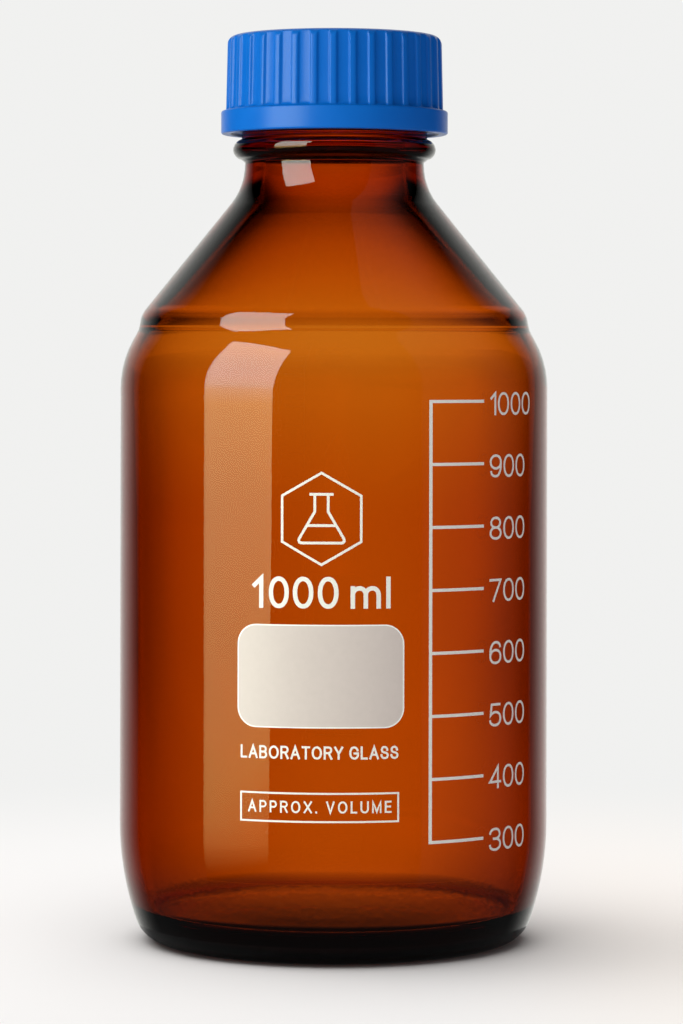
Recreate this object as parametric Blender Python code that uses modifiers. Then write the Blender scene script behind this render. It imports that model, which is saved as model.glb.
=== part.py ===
"""Reagent bottle of amber glass with a blue screw cap, a pouring ring and white enamel prints.

Metres, +Z up, the bottle's axis on the world Z axis, standing on z = 0, the printed side toward -Y.
"""

import math

import bmesh
import bpy

MM = 0.001

# ---------------------------------------------------------------- driving dimensions, millimetres
SIDES = 48  # facets round the glass
BODY_R = 50.5  # outer radius of the bottle's straight wall
WALL = 3.7  # glass thickness of the straight wall
HEEL_TOP_Z = 28.0  # the straight wall ends here and the long heel curve starts
HEEL_R = 70.0  # radius of the long heel curve
FOOT_TOP_Z = 5.0  # the tight foot curve takes over here
FOOT_FLAT_R = 37.0  # inner edge of the flat standing ring
PUNT = 3.2  # hollow under the base, at the centre
FLOOR_Z = 7.2  # inside floor

SHOULDER_Z = 136.2  # corner between the straight wall and the shoulder
SHOULDER_LOW = (46.25, 143.95)  # foot of the low ring on the shoulder (radius, height)
SHOULDER_HIGH = (45.66, 147.7)  # top of that ring, where the cone starts
NECK_R = 21.2  # neck under the bead
NECK_Z = 177.9  # corner between cone and neck
BEAD_R = 24.0  # bead round the neck
BEAD_Z = 186.65
BEAD_ROUND = 2.4
COLLAR_R = 21.95  # short collar between bead and cap
THREAD_ROOT_R = 20.9
THREAD_CREST_R = 22.25
LIP_R = 19.9  # outside of the mouth, under the pouring ring
LIP_Z = 208.45  # top of the glass
BORE_R = 16.6  # mouth opening

PITCH = 4.0  # GL 45 thread lead
THREAD_START_Z = 193.2
THREAD_TURNS = 1.9

CAP_BOTTOM_Z = 190.3
CAP_TOP_Z = 213.6
FLANGE_R = 26.84
FLANGE_TOP_Z = 195.8
FLANGE_ROUND = 0.5
RIB_R_LOW = 25.8  # over the ribs, at the flange
RIB_R_HIGH = 25.45  # over the ribs, where the top rounding starts
CAP_ROUND = 2.2  # rounding of the cap's top edge
RIBS = 35
RIB_DEPTH = 0.5
RIB_PHASE_DEG = -2.9  # left foot of the rib next to the front centre line
CAP_BORE_R = 23.1
CAP_CEILING_Z = 211.6
CAP_CREST_R = 21.55
CAP_THREAD_LIFT = 2.4  # the cap's thread rides this far above the glass thread

DISC_R = 19.3
DISC_BOTTOM_Z = 209.75
DISC_TOP_Z = 211.4

PRINT_GAP = 0.04  # enamel stands this far off the glass
PRINT_THICK = 0.08
LABEL = (-25.2, 18.3, 54.5, 77.7, 4.5)  # left and right in degrees, bottom and top, corner radius
SCALE_LINE_DEG = 25.6
SCALE_TICK_END_DEG = 42.4
SCALE_TOP_Z = 127.65
SCALE_STEP = 14.18
SCALE_MARKS = 8
SCALE_LINE = 0.8
SCALE_TICK = 0.7
BOX = (-24.4, 17.0, 33.35, 40.1, 0.4)  # left and right in degrees, bottom and top, line width
EMBLEM_DEG = -3.1
EMBLEM_Z = 101.4
EMBLEM_R = 10.6  # corner radius of the hexagon
EMBLEM_LINE = 0.6

for old in list(bpy.data.objects):
    bpy.data.objects.remove(old, do_unlink=True)

parts = bpy.data.collections.new("Reagent bottle")
bpy.context.scene.collection.children.link(parts)
cutters = bpy.data.collections.new("Cutters")
bpy.context.scene.collection.children.link(cutters)


# ---------------------------------------------------------------- helpers
def material(name, colour, roughness, metallic=0.0, transmission=0.0):
    mat = bpy.data.materials.new(name)
    mat.use_nodes = True
    bsdf = mat.node_tree.nodes["Principled BSDF"]
    bsdf.inputs["Base Color"].default_value = (*colour, 1.0)
    bsdf.inputs["Roughness"].default_value = roughness
    bsdf.inputs["Metallic"].default_value = metallic
    bsdf.inputs["Transmission Weight"].default_value = transmission
    return mat


def arc(cr, cz, radius, start_deg, end_deg, steps):
    """Points on a circle in the radius-height plane, both ends included."""
    points = []
    for i in range(steps + 1):
        a = math.radians(start_deg + (end_deg - start_deg) * i / steps)
        points.append((cr + radius * math.cos(a), cz + radius * math.sin(a)))
    return points


def rounded(corners):
    """Outline through (radius, height, rounding, steps) corners; the first and last stay sharp."""
    out = [corners[0][:2]]
    for before, here, after in zip(corners, corners[1:], corners[2:]):
        if here[2] == 0:
            out.append(here[:2])
            continue
        ax, az = before[0] - here[0], before[1] - here[1]
        bx, bz = after[0] - here[0], after[1] - here[1]
        al, bl = math.hypot(ax, az), math.hypot(bx, bz)
        ax, az, bx, bz = ax / al, az / al, bx / bl, bz / bl
        half = math.acos(max(-1.0, min(1.0, ax * bx + az * bz))) / 2
        run = here[2] / math.tan(half)
        p0 = (here[0] + ax * run, here[1] + az * run)
        p1 = (here[0] + bx * run, here[1] + bz * run)
        mx, mz = ax + bx, az + bz
        ml = math.hypot(mx, mz)
        reach = here[2] / math.sin(half)
        c = (here[0] + mx / ml * reach, here[1] + mz / ml * reach)
        a0 = math.atan2(p0[1] - c[1], p0[0] - c[0])
        turn = math.atan2(p1[1] - c[1], p1[0] - c[0]) - a0
        turn = (turn + math.pi) % (2 * math.pi) - math.pi
        for i in range(here[3] + 1):
            a = a0 + turn * i / here[3]
            out.append((c[0] + here[2] * math.cos(a), c[1] + here[2] * math.sin(a)))
    out.append(corners[-1][:2])
    return out


def finish(ob, mat, home=None, sharp_deg=32.0):
    ob.data.materials.append(mat)
    (home or parts).objects.link(ob)
    bpy.context.view_layer.objects.active = ob
    for face in ob.data.polygons:
        face.use_smooth = True
    ob.data.set_sharp_from_angle(angle=math.radians(sharp_deg))
    return ob


def turned(name, profile, mat, sides=SIDES, closed=False):
    """Solid of revolution round Z; the profile in millimetres runs down its outer side."""
    bm = bmesh.new()
    verts = [bm.verts.new((r * MM, 0.0, z * MM)) for r, z in profile]
    for a, b in zip(verts, verts[1:]):
        bm.edges.new((a, b))
    if closed:
        bm.edges.new((verts[-1], verts[0]))
    mesh = bpy.data.meshes.new(name)
    bm.to_mesh(mesh)
    bm.free()
    ob = finish(bpy.data.objects.new(name, mesh), mat)
    screw = ob.modifiers.new("Revolve", "SCREW")
    screw.axis = "Z"
    screw.angle = 2 * math.pi
    screw.steps = sides
    screw.render_steps = sides
    screw.use_merge_vertices = True
    screw.merge_threshold = 0.00001
    screw.use_smooth_shade = True
    return ob


def ridge(name, mat, base_r, crest_r, base_half, crest_half, z0, turns, start_deg, per_turn=SIDES // 2):
    """Helical thread ridge, its base buried in the wall it grows from, its ends faded out."""
    count = round(turns * per_turn)
    fade = per_turn // 8
    bm = bmesh.new()
    loops = []
    for i in range(count + 1):
        grow = min(1.0, i / fade, (count - i) / fade)
        crest = base_r + (crest_r - base_r) * (0.15 + 0.85 * grow)
        a = math.radians(start_deg) + 2 * math.pi * i / per_turn
        z = z0 + PITCH * i / per_turn
        section = [
            (base_r, z - base_half),
            (crest, z - crest_half),
            (crest, z + crest_half),
            (base_r, z + base_half),
        ]
        loops.append([bm.verts.new((r * math.cos(a) * MM, r * math.sin(a) * MM, h * MM)) for r, h in section])
    for low, high in zip(loops, loops[1:]):
        for k in range(4):
            j = (k + 1) % 4
            bm.faces.new((low[k], low[j], high[j], high[k]))
    bm.faces.new(loops[0][::-1])
    bm.faces.new(loops[-1])
    bmesh.ops.recalc_face_normals(bm, faces=bm.faces)
    mesh = bpy.data.meshes.new(name)
    bm.to_mesh(mesh)
    bm.free()
    ob = finish(bpy.data.objects.new(name, mesh), mat, cutters)
    ob.hide_render = True
    ob.display_type = "WIRE"
    return ob


def join_ridge(ob, tool):
    boolean = ob.modifiers.new("Thread", "BOOLEAN")
    boolean.operation = "UNION"
    boolean.solver = "EXACT"
    boolean.object = tool


def enamel(name, cells, mat):
    """Thin print on the straight wall from a list of quads, each four (degrees, height) corners."""
    bm = bmesh.new()
    layers = {}

    def vert(corner, layer):
        key = (round(corner[0], 5), round(corner[1], 5), layer)
        if key not in layers:
            r = BODY_R + PRINT_GAP + PRINT_THICK * layer
            a = math.radians(corner[0])
            layers[key] = bm.verts.new((r * math.sin(a) * MM, -r * math.cos(a) * MM, corner[1] * MM))
        return layers[key]

    edges = {}
    for quad in cells:
        bm.faces.new([vert(c, 1) for c in quad])
        bm.faces.new([vert(c, 0) for c in reversed(quad)])
        for a, b in zip(quad, quad[1:] + quad[:1]):
            ka = (round(a[0], 5), round(a[1], 5))
            kb = (round(b[0], 5), round(b[1], 5))
            if (kb, ka) in edges:
                del edges[(kb, ka)]
            else:
                edges[(ka, kb)] = (a, b)
    for a, b in edges.values():
        bm.faces.new((vert(a, 0), vert(b, 0), vert(b, 1), vert(a, 1)))
    bmesh.ops.recalc_face_normals(bm, faces=bm.faces)
    mesh = bpy.data.meshes.new(name)
    bm.to_mesh(mesh)
    bm.free()
    return finish(bpy.data.objects.new(name, mesh), mat)


def spread(start, end, most):
    """Evenly spaced stations from start to end, no farther apart than most."""
    count = max(1, math.ceil(abs(end - start) / most))
    return [start + (end - start) * i / count for i in range(count + 1)]


def grid(columns, rows, filled=lambda i, j: True):
    cells = []
    for i, (t0, t1) in enumerate(zip(columns, columns[1:])):
        for j, (z0, z1) in enumerate(zip(rows, rows[1:])):
            if filled(i, j):
                cells.append([(t0, z0), (t1, z0), (t1, z1), (t0, z1)])
    return cells


# ---------------------------------------------------------------- materials
amber = material("Amber glass", (0.42, 0.11, 0.005), 0.03, transmission=1.0)
blue = material("Blue polypropylene", (0.005, 0.12, 0.60), 0.32)
ring_blue = material("Blue ring polypropylene", (0.01, 0.15, 0.62), 0.35)
silicone = material("White silicone", (0.82, 0.82, 0.80), 0.55)
white = material("White enamel", (0.72, 0.68, 0.63), 0.45)
scale_white = material("White scale enamel", (0.70, 0.66, 0.62), 0.45)
box_white = material("White frame enamel", (0.70, 0.66, 0.61), 0.45)
emblem_white = material("White emblem enamel", (0.70, 0.66, 0.60), 0.45)

# ---------------------------------------------------------------- bottle: one blown piece of glass
heel_deg = math.degrees(math.asin((HEEL_TOP_Z - FOOT_TOP_Z) / HEEL_R))
heel_c = BODY_R - HEEL_R
foot_r = heel_c + HEEL_R * math.cos(math.radians(heel_deg))
foot_round = FOOT_TOP_Z / (1 - math.sin(math.radians(heel_deg)))
foot_c = foot_r - foot_round * math.cos(math.radians(heel_deg))

inner_c = heel_c
inner_heel = HEEL_R - WALL
inner_deg = math.degrees(math.asin((HEEL_TOP_Z - 14.0) / inner_heel))
inner_r = inner_c + inner_heel * math.cos(math.radians(inner_deg))

inside = [(0.0, FLOOR_Z + 0.6), (20.0, FLOOR_Z + 0.4)]
inside += rounded(
    [
        (34.0, FLOOR_Z, 0, 0),
        (inner_r - 2.0, FLOOR_Z, 6.5, 6),
        (inner_r, 14.0, 0, 0),
    ]
)
inside += arc(inner_c, HEEL_TOP_Z, inner_heel, -inner_deg, 0, 4)[1:]
inside += rounded(
    [
        (BODY_R - WALL, 60.0, 0, 0),
        (BODY_R - WALL, 100.0, 0, 0),
        (47.45, 126.0, 0, 0),
        (47.6, SHOULDER_Z + 0.2, 19.0, 6),
        (43.75, 143.6, 0, 0),
        (42.6, 146.2, 0, 0),
        (42.0, 147.7, 0, 0),
        (16.9, 176.6, 13.0, 5),
        (16.9, 186.0, 0, 0),
        (BORE_R, 193.0, 0, 0),
        (BORE_R, LIP_Z, 1.4, 3),
        (18.2, LIP_Z, 0, 0),
    ]
)
outside = rounded(
    [
        (18.6, LIP_Z, 0, 0),
        (LIP_R, LIP_Z, 1.2, 3),
        (LIP_R, 203.4, 0.4, 2),
        (THREAD_ROOT_R, 202.4, 0.4, 2),
        (THREAD_ROOT_R, 191.9, 0.5, 2),
        (COLLAR_R, 190.6, 0.5, 2),
        (COLLAR_R, 189.2, 0, 0),
    ]
)
outside += arc(BEAD_R - BEAD_ROUND, BEAD_Z, BEAD_ROUND, 74, -78, 9)
outside += rounded(
    [
        (NECK_R, 183.6, 0, 0),
        (NECK_R, NECK_Z, 15.0, 6),
        (SHOULDER_HIGH[0], SHOULDER_HIGH[1], 7.5, 3),
        (SHOULDER_LOW[0], SHOULDER_LOW[1], 5.0, 2),
        (BODY_R, SHOULDER_Z, 23.0, 7),
        (BODY_R, 82.0, 0, 0),
    ]
)
outside += arc(heel_c, HEEL_TOP_Z, HEEL_R, 0, -heel_deg, 6)
outside += arc(foot_c, foot_round, foot_round, -heel_deg, -90, 7)[1:]
outside += [(FOOT_FLAT_R, 0.0), (35.6, 0.35), (30.0, 1.0), (16.0, PUNT - 0.6), (0.0, PUNT)]

bottle = turned("bottle", inside + outside, amber)
neck_ridge = ridge(
    "Neck thread ridge",
    amber,
    THREAD_ROOT_R - 0.5,
    THREAD_CREST_R,
    1.45,
    0.5,
    THREAD_START_Z,
    THREAD_TURNS,
    90.0 / SIDES - 60.0,
)
join_ridge(bottle, neck_ridge)

# ---------------------------------------------------------------- pouring ring, snapped over the lip
ring_profile = [
    (20.25, 203.9),
    (20.2, 207.9),
    (19.3, 208.75),
    (17.0, 208.75),
    (16.35, 208.1),
    (16.35, 205.4),
    (15.6, 205.0),
    (15.55, 208.4),
    (16.1, 209.2),
    (17.2, 209.5),
    (19.3, 209.55),
    (19.7, 210.1),
    (20.0, 211.0),
    (20.7, 211.1),
    (21.0, 210.4),
    (20.85, 208.8),
    (21.15, 207.8),
    (21.15, 203.9),
]
ring = turned("pouring_ring", ring_profile, ring_blue, closed=True)

# ---------------------------------------------------------------- screw cap
RIB_SHAPE = [(0.0, 0.0), (0.6, 0.84), (2.6, 1.0), (4.0, 0.66), (5.2, 0.0), (7.7, -0.12)]  # degrees, share


def envelope(z):
    """Radius over the ribs at a height."""
    share = (z - FLANGE_TOP_Z) / (CAP_TOP_Z - CAP_ROUND - FLANGE_TOP_Z)
    return RIB_R_LOW + (RIB_R_HIGH - RIB_R_LOW) * share


pitch_deg = 360.0 / RIBS
stations = []
for k in range(RIBS):
    for deg, height in RIB_SHAPE:
        stations.append((RIB_PHASE_DEG + k * pitch_deg + deg, height))

round_r = RIB_R_HIGH - CAP_ROUND
cap_rows = [(r, z, True) for r, z in arc(round_r, CAP_TOP_Z - CAP_ROUND, CAP_ROUND, 90, 0, 6)]
cap_rows.append((RIB_R_LOW, FLANGE_TOP_Z, True))
flange = rounded(
    [
        (RIB_R_LOW, FLANGE_TOP_Z, 0, 0),
        (FLANGE_R, FLANGE_TOP_Z, FLANGE_ROUND, 2),
        (FLANGE_R, CAP_BOTTOM_Z, FLANGE_ROUND, 2),
        (CAP_BORE_R + 0.5, CAP_BOTTOM_Z, 0, 0),
    ]
)
cap_rows += [(r, z, False) for r, z in flange[1:]]
cap_rows.append((CAP_BORE_R, CAP_BOTTOM_Z + 0.5, False))
cap_rows.append((CAP_BORE_R, CAP_CEILING_Z, False))

bm = bmesh.new()
rings = []
for radius, z, ribbed in cap_rows:
    loop = []
    for deg, height in stations:
        r = radius
        if ribbed:
            r = min(radius, envelope(z) - RIB_DEPTH * (1.0 - height))
        a = math.radians(deg)
        loop.append(bm.verts.new((r * math.sin(a) * MM, -r * math.cos(a) * MM, z * MM)))
    rings.append(loop)
for upper, lower in zip(rings, rings[1:]):
    for i in range(len(upper)):
        j = (i + 1) % len(upper)
        bm.faces.new((upper[i], lower[i], lower[j], upper[j]))
for loop, z in ((rings[0], CAP_TOP_Z), (rings[-1], CAP_CEILING_Z)):
    bm.faces.new(loop)
bmesh.ops.recalc_face_normals(bm, faces=bm.faces)
cap_mesh = bpy.data.meshes.new("screw_cap")
bm.to_mesh(cap_mesh)
bm.free()
cap = finish(bpy.data.objects.new("screw_cap", cap_mesh), blue, sharp_deg=28.0)
cap_ridge = ridge(
    "Cap thread ridge",
    blue,
    CAP_BORE_R + 0.5,
    CAP_CREST_R,
    1.0,
    0.35,
    THREAD_START_Z + CAP_THREAD_LIFT,
    THREAD_TURNS - 0.3,
    90.0 / SIDES - 60.0,
)
join_ridge(cap, cap_ridge)

# ---------------------------------------------------------------- sealing disc inside the cap
disc_profile = rounded(
    [
        (0.0, DISC_TOP_Z, 0, 0),
        (DISC_R, DISC_TOP_Z, 0.3, 2),
        (DISC_R, DISC_BOTTOM_Z, 0.3, 2),
        (0.0, DISC_BOTTOM_Z, 0, 0),
    ]
)
disc = turned("sealing_disc", disc_profile, silicone)

# ---------------------------------------------------------------- enamel prints on the straight wall
left, right, low, high, corner = LABEL
corner_deg = math.degrees(corner / BODY_R)
bend = [corner_deg * (1 - math.cos(math.radians(a))) for a in (0, 22.5, 45, 67.5, 90)]
columns = [left + b for b in bend]
columns += spread(left + corner_deg, right - corner_deg, 2.4)[1:]
columns += [right - b for b in reversed(bend[:-1])]


def inset(deg):
    """How far the rounded corner eats into the field's top and bottom at this column."""
    reach = min(deg - left, right - deg)
    if reach >= corner_deg:
        return 0.0
    return corner * (1 - math.sqrt(max(0.0, 1 - (1 - reach / corner_deg) ** 2)))


field = []
for t0, t1 in zip(columns, columns[1:]):
    a, b = min(inset(t0), corner - 0.2), min(inset(t1), corner - 0.2)
    field.append([(t0, low + a), (t1, low + b), (t1, high - b), (t0, high - a)])
enamel("label_field", field, white)

half_line = math.degrees(SCALE_LINE / 2 / BODY_R)
columns = [SCALE_LINE_DEG - half_line]
columns += spread(SCALE_LINE_DEG + half_line, SCALE_TICK_END_DEG, 2.4)
rows = []
for k in reversed(range(SCALE_MARKS)):
    z = SCALE_TOP_Z - SCALE_STEP * k
    rows += [z - SCALE_TICK / 2, z + SCALE_TICK / 2]
enamel("volume_scale", grid(columns, rows, lambda i, j: i == 0 or j % 2 == 0), scale_white)

left, right, low, high, line = BOX
line_deg = math.degrees(line / BODY_R)
columns = [left] + spread(left + line_deg, right - line_deg, 2.4) + [right]
rows = [low, low + line, high - line, high]
last = len(columns) - 2
enamel("caption_frame", grid(columns, rows, lambda i, j: i in (0, last) or j != 1), box_white)

outline = []
for k in range(6):
    for step in range(4):
        ends = []
        for r in (EMBLEM_R, EMBLEM_R - EMBLEM_LINE):
            a0 = math.radians(30 + 60 * k)
            a1 = math.radians(90 + 60 * k)
            share = step / 4
            x = r * (math.cos(a0) * (1 - share) + math.cos(a1) * share)
            z = r * (math.sin(a0) * (1 - share) + math.sin(a1) * share)
            ends.append((EMBLEM_DEG + math.degrees(x / BODY_R), EMBLEM_Z + z))
        outline.append(ends)
hexagon = []
for here, following in zip(outline, outline[1:] + outline[:1]):
    hexagon.append([here[0], following[0], following[1], here[1]])
enamel("emblem_hexagon", hexagon, emblem_white)
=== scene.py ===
"""Looks of the amber reagent bottle: glass, cap, prints and studio.

The pieces are modelled in millimetres, which place() turns into metres; materials and studio are in metres.
"""

import math

import bmesh
import bpy
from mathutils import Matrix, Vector, noise


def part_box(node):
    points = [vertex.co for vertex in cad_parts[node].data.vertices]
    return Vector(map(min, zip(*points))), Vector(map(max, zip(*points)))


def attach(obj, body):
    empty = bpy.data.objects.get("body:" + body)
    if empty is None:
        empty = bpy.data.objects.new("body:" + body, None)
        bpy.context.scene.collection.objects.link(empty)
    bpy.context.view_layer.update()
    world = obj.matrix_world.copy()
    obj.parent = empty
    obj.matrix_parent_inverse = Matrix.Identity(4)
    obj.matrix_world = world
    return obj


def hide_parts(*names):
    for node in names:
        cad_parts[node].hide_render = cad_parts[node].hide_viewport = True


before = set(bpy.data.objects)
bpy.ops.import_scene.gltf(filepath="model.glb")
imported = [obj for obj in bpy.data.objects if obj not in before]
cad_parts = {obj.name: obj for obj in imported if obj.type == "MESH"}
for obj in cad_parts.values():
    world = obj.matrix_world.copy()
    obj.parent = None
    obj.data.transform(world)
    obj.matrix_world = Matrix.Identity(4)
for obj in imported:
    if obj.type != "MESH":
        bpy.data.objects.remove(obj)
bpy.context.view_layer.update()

MM = 0.001
TAU = 2 * math.pi

# ---------------------------------------------------------------- sizes read from the frame, in millimetres
BODY_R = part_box("bottle")[1].x / MM
LIP_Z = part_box("bottle")[1].z / MM
CAP_LOW, CAP_HIGH = (corner.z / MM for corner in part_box("screw_cap"))
FLANGE_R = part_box("screw_cap")[1].x / MM
DISC_LOW, DISC_HIGH = (corner.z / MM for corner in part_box("sealing_disc"))
DISC_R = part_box("sealing_disc")[1].x / MM

WALL = 3.7
PITCH = 4.0  # thread lead
THREAD_TURNS = 1.9
THREAD_START = -60.0  # azimuth where the glass thread starts, degrees from +X
THREAD_Z = 193.2  # height where the glass thread starts
CAP_THREAD_UP = 2.4  # the cap's thread runs this much above the glass thread
GLASS_STEPS = 192  # facets round the glass
GLASS_STEP = 4.0  # longest step along the glass outline
RIBS = 35


# ---------------------------------------------------------------- mesh helpers
def arc(cr, cz, radius, start_deg, end_deg, steps):
    """Points on a circle in the radius-height plane, both ends included."""
    points = []
    for i in range(steps + 1):
        a = math.radians(start_deg + (end_deg - start_deg) * i / steps)
        points.append((cr + radius * math.cos(a), cz + radius * math.sin(a)))
    return points


def rounded(corners):
    """Outline through (radius, height, rounding) corners; a rounding of 0 keeps the corner sharp."""
    out = [corners[0][:2]]
    for before, here, after in zip(corners, corners[1:], corners[2:]):
        if here[2] == 0:
            out.append(here[:2])
            continue
        ax, az = before[0] - here[0], before[1] - here[1]
        bx, bz = after[0] - here[0], after[1] - here[1]
        al, bl = math.hypot(ax, az), math.hypot(bx, bz)
        ax, az, bx, bz = ax / al, az / al, bx / bl, bz / bl
        half = math.acos(max(-1.0, min(1.0, ax * bx + az * bz))) / 2
        run = here[2] / math.tan(half)
        start = (here[0] + ax * run, here[1] + az * run)
        end = (here[0] + bx * run, here[1] + bz * run)
        ml = math.hypot(ax + bx, az + bz)
        reach = here[2] / math.sin(half)
        c = (here[0] + (ax + bx) / ml * reach, here[1] + (az + bz) / ml * reach)
        a0 = math.atan2(start[1] - c[1], start[0] - c[0])
        turn = math.atan2(end[1] - c[1], end[0] - c[0]) - a0
        turn = (turn + math.pi) % TAU - math.pi
        steps = max(2, round(abs(turn) / math.radians(6)))
        for i in range(steps + 1):
            a = a0 + turn * i / steps
            out.append((c[0] + here[2] * math.cos(a), c[1] + here[2] * math.sin(a)))
    out.append(corners[-1][:2])
    return out


def stretch(points, most):
    """The same outline with no step longer than most."""
    out = [points[0]]
    for a, b in zip(points, points[1:]):
        count = max(1, math.ceil(math.hypot(b[0] - a[0], b[1] - a[1]) / most))
        for i in range(1, count + 1):
            out.append((a[0] + (b[0] - a[0]) * i / count, a[1] + (b[1] - a[1]) * i / count))
    return out


def place(name, bm, material, body, replaces=(), smooth_deg=40.0):
    """Turns a bmesh in millimetres into a piece that rides on a body."""
    bmesh.ops.scale(bm, vec=(MM, MM, MM), verts=bm.verts)
    bmesh.ops.recalc_face_normals(bm, faces=bm.faces)
    mesh = bpy.data.meshes.new(name)
    bm.to_mesh(mesh)
    bm.free()
    for face in mesh.polygons:
        face.use_smooth = True
    mesh.set_sharp_from_angle(angle=math.radians(smooth_deg))
    ob = bpy.data.objects.new(name, mesh)
    bpy.context.scene.collection.objects.link(ob)
    mesh.materials.append(material)
    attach(ob, body)
    if replaces:
        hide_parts(*replaces)
    return ob


def turned(profile, steps, radius_at=None, closed=False):
    """Solid of revolution as a bmesh in millimetres. Points on the axis become one vertex.

    radius_at(radius, angle, height, index) may change the radius round the turn."""
    bm = bmesh.new()
    rings = []
    for index, (r, z) in enumerate(profile):
        if r < 1e-6:
            rings.append([bm.verts.new((0, 0, z))] * steps)
            continue
        ring = []
        for i in range(steps):
            a = TAU * i / steps
            rr = radius_at(r, a, z, index) if radius_at else r
            ring.append(bm.verts.new((rr * math.cos(a), rr * math.sin(a), z)))
        rings.append(ring)
    pairs = list(zip(rings, rings[1:]))
    if closed:
        pairs.append((rings[-1], rings[0]))
    for one, two in pairs:
        for i in range(steps):
            j = (i + 1) % steps
            corners = []
            for v in (one[i], one[j], two[j], two[i]):
                if v not in corners:
                    corners.append(v)
            bm.faces.new(corners)
    return bm


def smoothstep(x):
    x = max(0.0, min(1.0, x))
    return x * x * (3 - 2 * x)


def thread_height(angle, z, start_z, turns, half_base, half_crest):
    """0 to 1: how far the helical ridge stands up at this place."""
    phase = ((angle - math.radians(THREAD_START)) % TAU) / TAU
    best = 0.0
    for k in range(math.ceil(turns) + 1):
        t = phase + k
        if t > turns:
            continue
        fade = smoothstep(min(t, turns - t) / 0.14)
        off = abs(z - start_z - PITCH * t)
        flank = (half_base - off) / (half_base - half_crest)
        best = max(best, fade * smoothstep(flank))
    return best


# ---------------------------------------------------------------- node helpers
def socket(tree, node, key, value):
    """Sets a node's input, links it to another node's output, or leaves it alone for None."""
    if isinstance(value, (int, float)):
        node.inputs[key].default_value = value
    elif isinstance(value, tuple):
        node.inputs[key].default_value = (*value, 1) if len(value) == 3 else value
    elif value is not None:
        tree.links.new(value, node.inputs[key])


def calc(tree, operation, a, b=None):
    node = tree.nodes.new("ShaderNodeMath")
    node.operation = operation
    socket(tree, node, 0, a)
    socket(tree, node, 1, b)
    return node.outputs["Value"]


def ease(tree, value, low, high, smooth=True):
    """0 below low, 1 above high, and a smooth or straight rise between them."""
    node = tree.nodes.new("ShaderNodeMapRange")
    node.interpolation_type = "SMOOTHSTEP" if smooth else "LINEAR"
    node.clamp = True
    node.inputs["From Min"].default_value = low
    node.inputs["From Max"].default_value = high
    tree.links.new(value, node.inputs["Value"])
    return node.outputs["Result"]


def blend_colour(tree, factor, a, b):
    node = tree.nodes.new("ShaderNodeMix")
    node.data_type = "RGBA"
    for key, value in (("Factor", factor), ("A", a), ("B", b)):
        socket(tree, node, key, value)
    return node.outputs["Result"]


def colour_ramp(tree, value, stops, scale):
    """Colour by value. Stops are (place from 0 to 1, colour), and the colours are divided by scale."""
    node = tree.nodes.new("ShaderNodeValToRGB")
    ramp = node.color_ramp.elements
    ramp[0].position, ramp[1].position = stops[0][0], stops[-1][0]
    for at, _ in stops[1:-1]:
        ramp.new(at)
    for element, (_, colour) in zip(ramp, stops):
        element.color = (*(c / scale for c in colour), 1)
    tree.links.new(value, node.inputs["Fac"])
    return node.outputs["Color"]


def axes(tree, coordinates="Object"):
    """X, Y and Z of the shaded point, or of the ray's direction in a world."""
    split = tree.nodes.new("ShaderNodeSeparateXYZ")
    tree.links.new(tree.nodes.new("ShaderNodeTexCoord").outputs[coordinates], split.inputs["Vector"])
    return split.outputs


def two_shaders(tree, factor, first, second):
    """Surface that goes from the first shader to the second with the factor."""
    mix = tree.nodes.new("ShaderNodeMixShader")
    tree.links.new(factor, mix.inputs["Fac"])
    tree.links.new(first, mix.inputs[1])
    tree.links.new(second, mix.inputs[2])
    tree.links.new(mix.outputs["Shader"], tree.nodes["Material Output"].inputs["Surface"])


# ---------------------------------------------------------------- materials
def new_material(name):
    mat = bpy.data.materials.new(name)
    mat.use_nodes = True
    nodes = mat.node_tree.nodes
    return mat, nodes, mat.node_tree.links, nodes["Principled BSDF"]


def noise_node(nodes, links, scale, detail):
    tex = nodes.new("ShaderNodeTexNoise")
    tex.inputs["Scale"].default_value = scale
    tex.inputs["Detail"].default_value = detail
    links.new(nodes.new("ShaderNodeTexCoord").outputs["Object"], tex.inputs["Vector"])
    return tex


def add_bump(nodes, links, bsdf, height, strength, distance):
    bump = nodes.new("ShaderNodeBump")
    bump.inputs["Strength"].default_value = strength
    bump.inputs["Distance"].default_value = distance
    links.new(height, bump.inputs["Height"])
    links.new(bump.outputs["Normal"], bsdf.inputs["Normal"])
    return bump


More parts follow.
